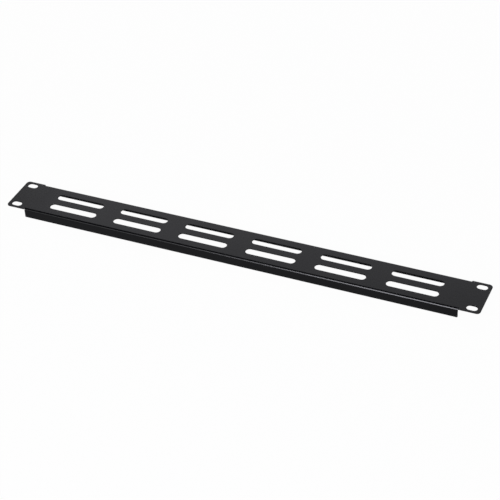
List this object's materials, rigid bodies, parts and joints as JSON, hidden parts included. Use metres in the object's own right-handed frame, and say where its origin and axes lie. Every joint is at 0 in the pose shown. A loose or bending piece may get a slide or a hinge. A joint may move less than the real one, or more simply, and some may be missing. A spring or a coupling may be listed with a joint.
{
  "type": "vented rack blanking panel",
  "caption": "One-unit rack blanking panel of folded sheet steel, with rows of long ventilation slots and slotted mounting holes.",
  "frame": {"origin": "centre of the four mounting holes, on the flat rear face that seats on the rack rails", "axes": "+X along the panel's width, +Y across its face, +Z out of the front face, so that the panel lies on the free edges of its two flanges"},
  "size_m": [0.4826, 0.0436, 0.0098],
  "materials": {
    "powder_coat": "matt black powder coat, fine texture"
  },
  "bodies": {
    "root": {"vented_panel": "powder_coat"}
  },
  "joints": []
}
